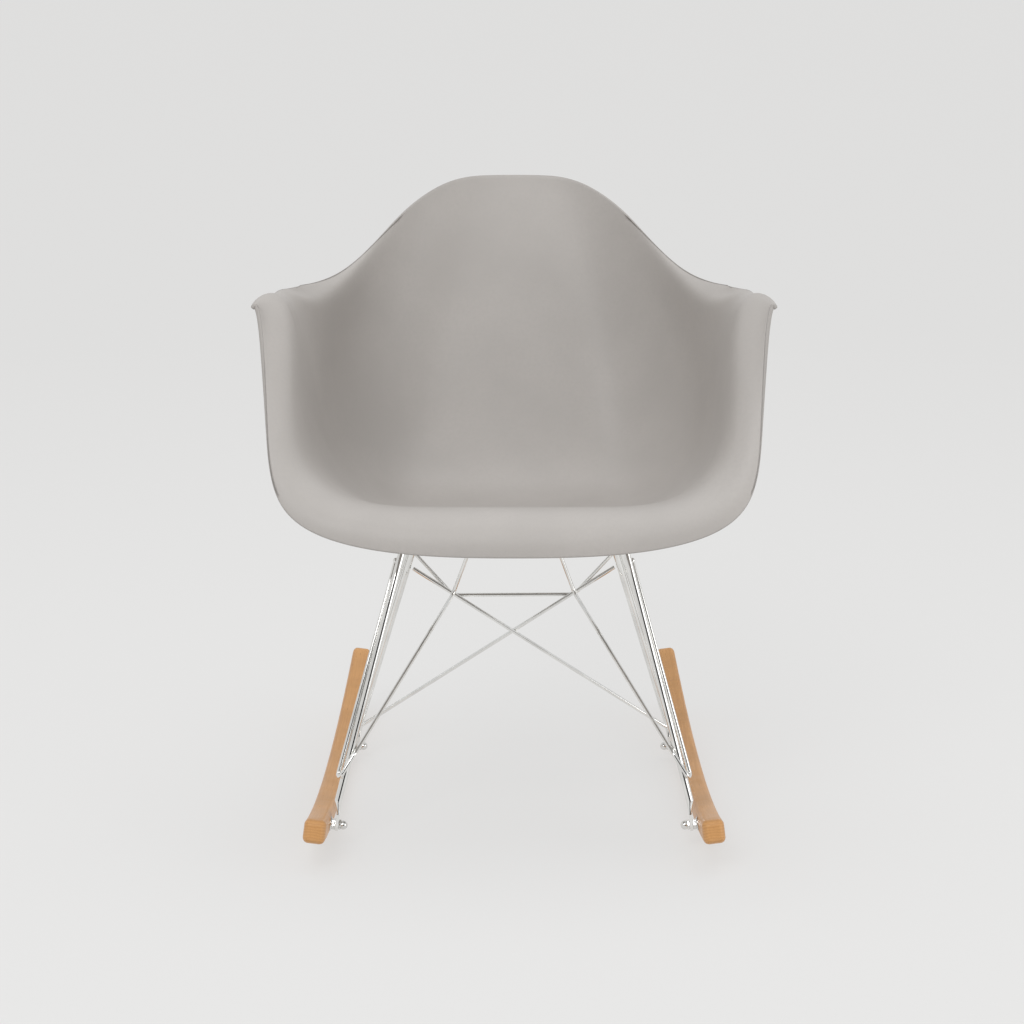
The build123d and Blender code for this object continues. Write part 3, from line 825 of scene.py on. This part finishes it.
def rocker_tree():
    """Slat with rounded edges and ends, bent on an arc and leaned over."""
    tree, start, end = new_tree(
        "bent_slat",
        "GeometryNodeTree",
        (
            ("Geometry", "Geometry"),
            ("Width", "Float"),
            ("Height", "Float"),
            ("Arc Radius", "Float"),
            ("Middle Angle", "Float"),
            ("Length", "Float"),
            ("Lowest Y", "Float"),
            ("Lean", "Float"),
            ("Rounding", "Vector"),
            ("Offset", "Vector"),
            ("Material", "Material"),
        ),
        (("Geometry", "Geometry"),),
    )
    size = result(put(tree, "ShaderNodeCombineXYZ", start["Width"], start["Length"], start["Height"]))
    block = put(tree, "GeometryNodeMeshCube", Size=size, Vertices_X=17, Vertices_Y=280, Vertices_Z=19)
    place = result(put(tree, "GeometryNodeInputPosition"))
    half = vector(tree, "MULTIPLY", size, (0.5, 0.5, 0.5))
    core = vector(tree, "SUBTRACT", half, start["Rounding"])
    minus_core = vector(tree, "MULTIPLY", core, (-1.0, -1.0, -1.0))
    clamped = vector(tree, "MINIMUM", vector(tree, "MAXIMUM", place, minus_core), core)
    beyond = vector(tree, "DIVIDE", vector(tree, "SUBTRACT", place, clamped), start["Rounding"])
    parts = put(tree, "ShaderNodeSeparateXYZ", vector(tree, "ABSOLUTE", beyond)).outputs
    largest = number(tree, "MAXIMUM", number(tree, "MAXIMUM", parts[0], parts[1]), parts[2])
    share = number(tree, "DIVIDE", largest, vector(tree, "LENGTH", beyond))
    ratio = result(put(tree, "ShaderNodeCombineXYZ", share, share, share))
    round_part = vector(tree, "MULTIPLY", vector(tree, "MULTIPLY", beyond, start["Rounding"]), ratio)
    rounded = put(
        tree,
        "GeometryNodeSetPosition",
        Geometry=block.outputs["Mesh"],
        Position=vector(tree, "ADD", clamped, round_part),
    )
    grained = put(
        tree,
        "GeometryNodeStoreNamedAttribute",
        data_type="FLOAT_VECTOR",
        domain="POINT",
        Geometry=result(rounded),
        Name="grain_place",
        Value=result(put(tree, "GeometryNodeInputPosition")),
    )
    straight = put(tree, "ShaderNodeSeparateXYZ", result(put(tree, "GeometryNodeInputPosition"))).outputs
    turn = number(tree, "DIVIDE", straight[1], start["Arc Radius"])
    angle = number(tree, "ADD", start["Middle Angle"], turn)
    half_height = number(tree, "MULTIPLY", start["Height"], 0.5)
    middle_radius = number(tree, "SUBTRACT", start["Arc Radius"], half_height)
    radius = number(tree, "SUBTRACT", middle_radius, straight[2])
    along = number(tree, "MULTIPLY", radius, number(tree, "SINE", angle))
    bent_y = number(tree, "ADD", start["Lowest Y"], along)
    drop = number(tree, "MULTIPLY", radius, number(tree, "COSINE", angle))
    bent_z = number(tree, "SUBTRACT", start["Arc Radius"], drop)
    bent = result(put(tree, "ShaderNodeCombineXYZ", straight[0], bent_y, bent_z))
    leaned = put(tree, "ShaderNodeVectorRotate", Vector=bent, Angle=start["Lean"], rotation_type="Y_AXIS")
    placed = put(
        tree,
        "GeometryNodeSetPosition",
        Geometry=result(grained),
        Position=vector(tree, "ADD", result(leaned), start["Offset"]),
    )
    smooth = put(tree, "GeometryNodeSetShadeSmooth", Geometry=result(placed))
    single = put(tree, "GeometryNodeRealizeInstances", Geometry=result(smooth))
    finished = put(tree, "GeometryNodeSetMaterial", Geometry=result(single), Material=start["Material"])
    tree.links.new(result(finished), end["Geometry"])
    return tree


class ARMCHAIR_OT_rockers(bpy.types.Operator):
    """Make the two bent maple rockers."""

    bl_idname = "armchair.rockers"
    bl_label = "Rockers"

    def execute(self, context):
        settings = context.scene.armchair_rockers
        tree = rocker_tree()
        wood = lacquered_maple(settings)
        ends = [
            math.asin((y - settings.lowest_y) / settings.arc_radius)
            for y in (settings.front_y, settings.rear_y)
        ]
        cant = settings.cant
        drop = SLAT_EDGE_RADIUS * (math.sin(cant) + math.cos(cant) - 1)
        for name, side in SIDES:
            inputs = {
                "Width": settings.width,
                "Height": settings.height,
                "Arc Radius": settings.arc_radius,
                "Middle Angle": sum(ends) / 2,
                "Length": settings.arc_radius * (ends[1] - ends[0]),
                "Lowest Y": settings.lowest_y,
                "Lean": -side * cant,
                "Rounding": tuple(settings.rounding),
                "Offset": (
                    side * (settings.inner_x + settings.width / 2 * math.cos(cant)),
                    0.0,
                    settings.width / 2 * math.sin(cant) - drop,
                ),
                "Material": wood,
            }
            rocker = grown(f"maple_rocker_{name}", bpy.data.meshes.new("slat"), tree, inputs)
            stand_for(rocker, "rocker", f"rocker_{name}")
        return {"FINISHED"}


# ---------------------------------------------------------------- wires


def leg_axis(leg, side):
    """Lower end and direction of a leg on the given side."""
    bottom, top = [Vector((side * x, y, z)) for x, y, z in leg]
    return bottom, (top - bottom).normalized()


def beside_leg(leg, side, z, outwards=0.0, forwards=0.0):
    """Point beside a leg's axis at a height, in the plane square to the leg."""
    bottom, direction = leg_axis(leg, side)
    on_axis = bottom + direction * ((z - bottom.z) / direction.z)
    out = Vector((side, 0, 0))
    out = (out - direction * out.dot(direction)).normalized()
    ahead = Vector((0, -1, 0))
    ahead = ahead - direction * ahead.dot(direction)
    ahead = (ahead - out * ahead.dot(out)).normalized()
    return on_axis + out * outwards + ahead * forwards


def rear_stay_route(side, wire):
    """From the weld on the rear leg down round a hairpin and across to the other rear leg."""
    beside = (LEG_DIAMETER + wire) / 2 + LEG_PLAY
    step = side * (wire + WIRE_PLAY) / 2
    last_z, last_out, last_ahead = REAR_HAIRPIN[-1]
    return [
        beside_leg(REAR_LEG, side, REAR_LEG[1][2] - STAY_TOP_DROP, beside),
        *[beside_leg(REAR_LEG, side, *corner) for corner in REAR_HAIRPIN[:-1]],
        beside_leg(REAR_LEG, side, last_z, last_out, last_ahead + step),
        beside_leg(REAR_LEG, -side, REAR_LEG[1][2] - BRACE_TOP_DROP, -beside, step),
    ]


def brace_y(side, wire):
    """Place of the brace where it passes the junction on its way up to a side's rear leg."""
    low, high = rear_stay_route(-side, wire)[-2:]
    share = (side * JUNCTION[0] - low.x) / (high.x - low.x)
    return low.y + (high.y - low.y) * share


def front_stay_route(side, wire):
    """From the weld on the front leg down round a hairpin and up to the rear cross rail."""
    head_z = REAR_LEG[1][2] - REAR_CROSS_RAIL_DROP
    rail_y = beside_leg(REAR_LEG, side, head_z).y
    under_rail = head_z - (LEG_DIAMETER + wire) / 2
    behind_brace = brace_y(side, wire) - (wire + WIRE_PLAY) + STAY_WELD_GAP
    return [
        beside_leg(FRONT_LEG, side, *FRONT_STAY_WELD),
        *[beside_leg(FRONT_LEG, side, *corner) for corner in FRONT_HAIRPIN],
        Vector((side * JUNCTION[0], behind_brace, JUNCTION[1])),
        Vector((side * STAY_HEAD_X, rail_y - STAY_HEAD_AHEAD, under_rail + STAY_HEAD_RISE)),
    ]


def spreader_route(wire):
    """From one rear leg down to the junctions and level across to the other."""
    top_z = REAR_LEG[1][2] - SPREADER_TOP_DROP
    behind = wire + WIRE_PLAY + SPREADER_WELD_GAP
    ends = [beside_leg(REAR_LEG, side, top_z, *SPREADER_END) for side in (-1, 1)]
    bends = [
        Vector((side * JUNCTION[0], brace_y(side, wire) + behind, SPREADER_HEIGHT)) for side in (-1, 1)
    ]
    return [ends[0], *bends, ends[1]]


def wire_route(name, points, bends):
    """Curve through a wire's corners, each corner's point radius holding its bend radius."""
    curve = bpy.data.curves.new(name, "CURVE")
    curve.dimensions = "3D"
    spline = curve.splines.new("POLY")
    spline.points.add(len(points) - 1)
    for target, point, bend in zip(spline.points, points, [0.0, *bends, 0.0]):
        target.co = (*point, 1.0)
        target.radius = bend
    return curve


def wire_tree():
    """Round wire along a route with bent corners and a weld bead at its start."""
    tree, start, end = new_tree(
        "bent_wire",
        "GeometryNodeTree",
        (
            ("Geometry", "Geometry"),
            ("Wire Diameter", "Float"),
            ("Bead Diameter", "Float"),
            ("Beads", "Int"),
            ("Material", "Material"),
        ),
        (("Geometry", "Geometry"),),
    )
    bend = result(put(tree, "GeometryNodeInputRadius"))
    bent = put(
        tree, "GeometryNodeFilletCurve", mode="POLY", Curve=start["Geometry"], Count=10, Radius=bend
    )
    even = put(tree, "GeometryNodeSetCurveRadius", Curve=result(bent), Radius=1.0)
    ring = put(
        tree,
        "GeometryNodeCurvePrimitiveCircle",
        Resolution=20,
        Radius=number(tree, "MULTIPLY", start["Wire Diameter"], 0.5),
    )
    rod = put(
        tree,
        "GeometryNodeCurveToMesh",
        Curve=result(even),
        Profile_Curve=result(ring, "Curve"),
        Fill_Caps=True,
    )
    first = put(tree, "GeometryNodeCurveEndpointSelection", Start_Size=start["Beads"], End_Size=0)
    bead = put(
        tree,
        "GeometryNodeMeshUVSphere",
        Segments=18,
        Rings=10,
        Radius=number(tree, "MULTIPLY", start["Bead Diameter"], 0.5),
    )
    beads = put(
        tree,
        "GeometryNodeInstanceOnPoints",
        Points=result(even),
        Selection=result(first),
        Instance=result(bead, "Mesh"),
    )
    both = tree.nodes.new("GeometryNodeJoinGeometry")
    tree.links.new(result(rod), both.inputs[0])
    tree.links.new(result(beads), both.inputs[0])
    single = put(tree, "GeometryNodeRealizeInstances", Geometry=result(both))
    smooth = put(tree, "GeometryNodeSetShadeSmooth", Geometry=result(single))
    finished = put(tree, "GeometryNodeSetMaterial", Geometry=result(smooth), Material=start["Material"])
    tree.links.new(result(finished), end["Geometry"])
    return tree


class ARMCHAIR_OT_wires(bpy.types.Operator):
    """Make the hairpin stays and the rear spreader."""

    bl_idname = "armchair.wires"
    bl_label = "Wire Stays"

    def execute(self, context):
        settings = context.scene.armchair_steel
        wire = settings.wire_diameter
        tree = wire_tree()
        inputs = {
            "Wire Diameter": wire,
            "Bead Diameter": settings.bead_diameter,
            "Beads": 1,
            "Material": chromed_steel(settings),
        }
        for name, side in SIDES:
            routes = (
                ("front_stay", front_stay_route(side, wire), FRONT_BEND_RADII),
                ("rear_stay", rear_stay_route(side, wire), REAR_BEND_RADII),
            )
            for label, points, bends in routes:
                piece = grown(f"{label}_wire_{name}", wire_route(label, points, bends), tree, inputs)
                stand_for(piece, "wire", f"{label}_{name}")
        route = wire_route("spreader", spreader_route(wire), SPREADER_BEND_RADII)
        piece = grown("rear_spreader_wire", route, tree, {**inputs, "Beads": 0})
        stand_for(piece, "wire", "rear_spreader")
        return {"FINISHED"}


# ---------------------------------------------------------------- bolts at the rockers


def bolt_frame(settings, side, y, inwards):
    """Point on a bolt's axis, a distance inwards of the rocker, and the direction inwards."""
    cant = settings.cant
    drop = SLAT_EDGE_RADIUS * (math.sin(cant) + math.cos(cant) - 1)
    middle = settings.arc_radius - settings.height / 2
    height = settings.arc_radius - math.sqrt(middle**2 - (y - settings.lowest_y) ** 2)
    outwards = Vector((side * math.cos(cant), 0, math.sin(cant)))
    upwards = Vector((-side * math.sin(cant), 0, math.cos(cant)))
    origin = Vector((side * settings.inner_x, y, -drop))
    return origin + upwards * height - outwards * inwards, -outwards


def turned_section(sections, flats, bore, segments=48):
    """Mesh of a turned or hexagonal part along +Z.

    Each section is its height, its largest radius and whether it is hexagonal.
    """
    work = bmesh.new()
    rings = []
    for height, limit, hexagonal in sections:
        ring = []
        for k in range(segments):
            angle = 2 * math.pi * k / segments
            radius = limit
            if hexagonal:
                turn = (angle + math.pi / 6) % (math.pi / 3) - math.pi / 6
                radius = min(limit, flats / 2 / math.cos(turn))
            ring.append(work.verts.new((radius * math.cos(angle), radius * math.sin(angle), height)))
        rings.append(ring)
    if bore:
        for height in (sections[-1][0], sections[0][0]):
            rings.append(
                [
                    work.verts.new(
                        (
                            bore * math.cos(2 * math.pi * k / segments),
                            bore * math.sin(2 * math.pi * k / segments),
                            height,
                        )
                    )
                    for k in range(segments)
                ]
            )
        rings.append(rings[0])
    for lower, upper in zip(rings, rings[1:]):
        for k in range(segments):
            after = (k + 1) % segments
            work.faces.new((lower[k], lower[after], upper[after], upper[k]))
    if not bore:
        work.faces.new(rings[0])
        work.faces.new(rings[-1])
    bmesh.ops.recalc_face_normals(work, faces=work.faces)
    mesh = bpy.data.meshes.new("turned_part")
    work.to_mesh(mesh)
    work.free()
    mesh.shade_smooth()
    mesh.set_sharp_from_angle(angle=math.radians(24))
    return mesh


def cap_nut_mesh(sizes):
    """Acorn nut: chamfered hex with a domed cap."""
    flats, hex_height, dome = sizes
    corner = flats / 2 / math.cos(math.pi / 6)
    radius = dome / 2
    sections = [
        (0.0, flats / 2 * 0.98, True),
        (0.0005, corner, True),
        (hex_height - 0.0006, corner, True),
        (hex_height - 0.0001, flats / 2 * 0.97, True),
        (hex_height, radius * 0.87, False),
    ]
    for degrees in range(-28, 89, 9):
        angle = math.radians(degrees)
        sections.append((radius + radius * math.sin(angle), radius * math.cos(angle), False))
    sections = [row for i, row in enumerate(sections) if i < 5 or row[0] > hex_height + 0.0001]
    return turned_section(sections, flats, 0.0)


def spacer_mesh(sizes, bore):
    """Plain hex nut with both edges chamfered."""
    flats, thickness = sizes
    corner = flats / 2 / math.cos(math.pi / 6)
    sections = [
        (0.0, flats / 2 * 0.97, True),
        (NUT_CHAMFER, corner, True),
        (thickness - NUT_CHAMFER, corner, True),
        (thickness, flats / 2 * 0.97, True),
    ]
    return turned_section(sections, flats, bore)


def washer_mesh(sizes, bore):
    """Flat washer with softened edges."""
    diameter, thickness = sizes
    sections = [
        (0.0, diameter / 2 - WASHER_CHAMFER, False),
        (WASHER_CHAMFER, diameter / 2, False),
        (thickness - WASHER_CHAMFER, diameter / 2, False),
        (thickness, diameter / 2 - WASHER_CHAMFER, False),
    ]
    return turned_section(sections, diameter, bore)


def bolt_tree():
    """One fixing repeated at every bolt, turned along the bolt's axis."""
    tree, start, end = new_tree(
        "fixing_at_bolts",
        "GeometryNodeTree",
        (
            ("Geometry", "Geometry"),
            ("Fixing", "Object"),
            ("Turn", "Float"),
            ("Seed", "Int"),
            ("Material", "Material"),
        ),
        (("Geometry", "Geometry"),),
    )
    fixing = put(tree, "GeometryNodeObjectInfo", Object=start["Fixing"])
    axis = put(tree, "GeometryNodeInputNamedAttribute", data_type="FLOAT_VECTOR", Name="axis")
    aligned = put(tree, "FunctionNodeAlignRotationToVector", axis="Z", Vector=result(axis))
    chance = put(tree, "FunctionNodeRandomValue", data_type="FLOAT", Seed=start["Seed"])
    spin_angle = number(tree, "MULTIPLY", result(chance), start["Turn"])
    spin = put(tree, "FunctionNodeAxisAngleToRotation", Axis=(0.0, 0.0, 1.0), Angle=spin_angle)
    turned = put(tree, "FunctionNodeRotateRotation", result(aligned), result(spin), rotation_space="LOCAL")
    placed = put(
        tree,
        "GeometryNodeInstanceOnPoints",
        Points=start["Geometry"],
        Instance=fixing.outputs["Geometry"],
        Rotation=result(turned),
    )
    single = put(tree, "GeometryNodeRealizeInstances", Geometry=result(placed))
    finished = put(tree, "GeometryNodeSetMaterial", Geometry=result(single), Material=start["Material"])
    tree.links.new(result(finished), end["Geometry"])
    return tree


def bolt_points(settings, inwards):
    """Point mesh with one point on each bolt and its axis as an attribute."""
    bolts = [(side, y) for _, side in SIDES for y in (BOLT_FRONT_Y, BOLT_REAR_Y)]
    frames = [bolt_frame(settings, side, y, inwards) for side, y in bolts]
    mesh = bpy.data.meshes.new("bolt_points")
    mesh.from_pydata([tuple(place) for place, _ in frames], [], [])
    axes = mesh.attributes.new("axis", "FLOAT_VECTOR", "POINT")
    for item, (_, axis) in zip(axes.data, frames):
        item.vector = axis
    return mesh


class ARMCHAIR_OT_bolts(bpy.types.Operator):
    """Make the washers, spacer nuts and cap nuts at the four feet."""

    bl_idname = "armchair.bolts"
    bl_label = "Bolts"

    def execute(self, context):
        steel = context.scene.armchair_steel
        rockers = context.scene.armchair_rockers
        tree = bolt_tree()
        metal = plated_fixings(steel)
        bore = steel.stud_diameter / 2 + BORE_CLEARANCE
        washer = steel.washer[1]
        spacer = washer + steel.spacer[1]
        rows = (
            ("rocker_washers", washer_mesh(steel.washer, bore), 0.0, 0.0),
            ("spacer_nuts", spacer_mesh(steel.spacer, bore), washer, 0.4),
            ("cap_nuts", cap_nut_mesh(steel.cap_nut), spacer + TAB_THICKNESS, 0.5),
        )
        for seed, (name, mesh, inwards, turn) in enumerate(rows):
            fixing = mesh_object(name + "_single", mesh)
            inputs = {"Fixing": fixing, "Turn": turn, "Seed": seed, "Material": metal}
            piece = grown(name + "_set", bolt_points(rockers, inwards), tree, inputs)
            bpy.data.objects.remove(fixing)
            stand_for(piece, "fixing", name)
        finish_node("rocker_studs", metal)
        return {"FINISHED"}


# ---------------------------------------------------------------- rods and mounts


class ARMCHAIR_OT_rods(bpy.types.Operator):
    """Give the welded rods of the base their chrome plate."""

    bl_idname = "armchair.rods"
    bl_label = "Legs and Rails"

    def execute(self, context):
        chrome = chromed_steel(context.scene.armchair_steel)
        for side, _ in SIDES:
            for name in ("leg_front", "leg_rear", "side_rail", "mount_plate_front", "mount_plate_rear"):
                finish_node(f"{name}_{side}", chrome)
        for end in ("front", "rear"):
            finish_node(f"cross_rail_{end}", chrome)
        return {"FINISHED"}


class ARMCHAIR_OT_mounts(bpy.types.Operator):
    """Finish the rubber pads and their screws under the shell."""

    bl_idname = "armchair.mounts"
    bl_label = "Shell Mounts"

    def execute(self, context):
        rubber = black_rubber()
        metal = plated_fixings(context.scene.armchair_steel)
        for side, _ in SIDES:
            for end in ("front", "rear"):
                finish_node(f"mount_pad_{end}_{side}", rubber)
        for name in ("mount_inserts", "mount_washers", "mount_screws"):
            finish_node(name, metal)
        return {"FINISHED"}


# ---------------------------------------------------------------- stage


def sweep_mesh(radius, height, bend):
    """Round paper sweep: flat floor that curves up into a wall all round."""
    profile = [(radius * k / 6, 0.0) for k in range(1, 7)]
    for k in range(1, 13):
        angle = math.radians(90 * k / 12)
        profile.append((radius + bend * math.sin(angle), bend * (1 - math.cos(angle))))
    profile.append((radius + bend, height))
    segments = 96
    turns = [2 * math.pi * k / segments for k in range(segments)]
    work = bmesh.new()
    centre = work.verts.new((0, 0, 0))
    rings = [
        [work.verts.new((r * math.cos(turn), r * math.sin(turn), z)) for turn in turns]
        for r, z in profile
    ]
    for k in range(segments):
        work.faces.new((centre, rings[0][k], rings[0][(k + 1) % segments]))
    for inner, outer in zip(rings, rings[1:]):
        for k in range(segments):
            after = (k + 1) % segments
            work.faces.new((inner[k], outer[k], outer[after], inner[after]))
    mesh = bpy.data.meshes.new("paper_sweep")
    work.to_mesh(mesh)
    work.free()
    mesh.shade_smooth()
    return mesh


def soft_box(name, place, target, size, power, colour=(1.0, 1.0, 1.0)):
    """Area light aimed at a point."""
    light = bpy.data.lights.new(name, "AREA")
    light.shape = "RECTANGLE"
    light.size, light.size_y = size
    light.energy = power
    light.color = colour
    lamp = bpy.data.objects.new(name, light)
    lamp.location = place
    lamp.rotation_euler = (Vector(target) - Vector(place)).to_track_quat("-Z", "Y").to_euler()
    bpy.context.scene.collection.objects.link(lamp)
    return lamp


def dark_card(name, place, size, upright=True):
    """Black board, upright or lying flat, that only shows in reflections."""
    middle = Vector(place)
    across = Vector((size[0] / 2, 0, 0))
    along = Vector((0, 0, size[1] / 2)) if upright else Vector((0, size[1] / 2, 0))
    signs = ((-1, -1), (1, -1), (1, 1), (-1, 1))
    corners = [middle + across * a + along * b for a, b in signs]
    mesh = bpy.data.meshes.new(name)
    mesh.from_pydata(corners, [], [(0, 1, 2, 3)])
    black = bpy.data.materials.new(name)
    black.use_nodes = True
    shader = black.node_tree.nodes["Principled BSDF"]
    shader.inputs["Base Color"].default_value = (0.01, 0.01, 0.01, 1.0)
    shader.inputs["Roughness"].default_value = 0.9
    mesh.materials.append(black)
    card = mesh_object(name, mesh)
    card.visible_camera = False


class ARMCHAIR_OT_stage(bpy.types.Operator):
    """Set up the floor, the light and the camera."""

    bl_idname = "armchair.stage"
    bl_label = "Stage"

    def execute(self, context):
        settings = context.scene.armchair_stage
        scene = context.scene
        mesh = sweep_mesh(5.0, 4.5, 2.0)
        mesh.materials.append(paper_floor(settings))
        mesh_object("paper_sweep", mesh)
        soft_box("key_box", (-0.9, -3.1, 2.6), (0, 0, 0.6), (1.8, 1.8), 55)
        soft_box("fill_box", (2.4, -1.5, 0.8), (0, 0, 0.5), (1.4, 1.4), 15)
        soft_box("top_box", (0, -0.1, 3.6), (0, 0, 0), (2.8, 2.8), 28)
        dark_card("front_card", (0.25, -3.4, 1.1), (2.2, 2.6))
        dark_card("floor_card", (0.1, -1.9, 0.01), (1.5, 1.1), upright=False)
        world = bpy.data.worlds.new("studio")
        world.use_nodes = True
        background = world.node_tree.nodes["Background"]
        background.inputs["Color"].default_value = (0.97, 0.985, 1.0, 1.0)
        background.inputs["Strength"].default_value = 0.75
        scene.world = world
        scene.view_settings.view_transform = "Standard"
        camera = bpy.data.cameras.new("camera")
        camera.sensor_width = 36.0
        camera.lens = settings.lens
        holder = bpy.data.objects.new("camera", camera)
        holder.location = settings.camera_place
        holder.rotation_euler = (math.pi / 2 - settings.camera_pitch, 0, 0)
        scene.collection.objects.link(holder)
        scene.camera = holder
        return {"FINISHED"}


# ---------------------------------------------------------------- panel and running


OPERATORS = (
    ARMCHAIR_OT_stage,
    ARMCHAIR_OT_shell,
    ARMCHAIR_OT_rockers,
    ARMCHAIR_OT_rods,
    ARMCHAIR_OT_wires,
    ARMCHAIR_OT_bolts,
    ARMCHAIR_OT_mounts,
)

SETTINGS = (
    ("armchair_shell", ShellSettings),
    ("armchair_rockers", RockerSettings),
    ("armchair_steel", SteelSettings),
    ("armchair_stage", StageSettings),
)


class ARMCHAIR_PT_panel(bpy.types.Panel):
    """Settings and makers of the armchair's pieces."""

    bl_idname = "ARMCHAIR_PT_panel"
    bl_label = "Rocking Armchair"
    bl_space_type = "VIEW_3D"
    bl_region_type = "UI"
    bl_category = "Armchair"

    def draw(self, context):
        for name, group in SETTINGS:
            box = self.layout.box()
            box.label(text=group.__doc__)
            settings = getattr(context.scene, name)
            for key in group.__annotations__:
                box.prop(settings, key)
        for operator in OPERATORS:
            self.layout.operator(operator.bl_idname)


def register():
    for name, group in SETTINGS:
        bpy.utils.register_class(group)
        setattr(bpy.types.Scene, name, bpy.props.PointerProperty(type=group))
    for operator in OPERATORS:
        bpy.utils.register_class(operator)
    bpy.utils.register_class(ARMCHAIR_PT_panel)


def unregister():
    bpy.utils.unregister_class(ARMCHAIR_PT_panel)
    for operator in reversed(OPERATORS):
        bpy.utils.unregister_class(operator)
    for name, group in reversed(SETTINGS):
        delattr(bpy.types.Scene, name)
        bpy.utils.unregister_class(group)


def main():
    register()
    bpy.ops.armchair.stage()
    bpy.ops.armchair.shell()
    bpy.ops.armchair.rockers()
    bpy.ops.armchair.rods()
    bpy.ops.armchair.wires()
    bpy.ops.armchair.bolts()
    bpy.ops.armchair.mounts()


if __name__ == "__main__":
    main()
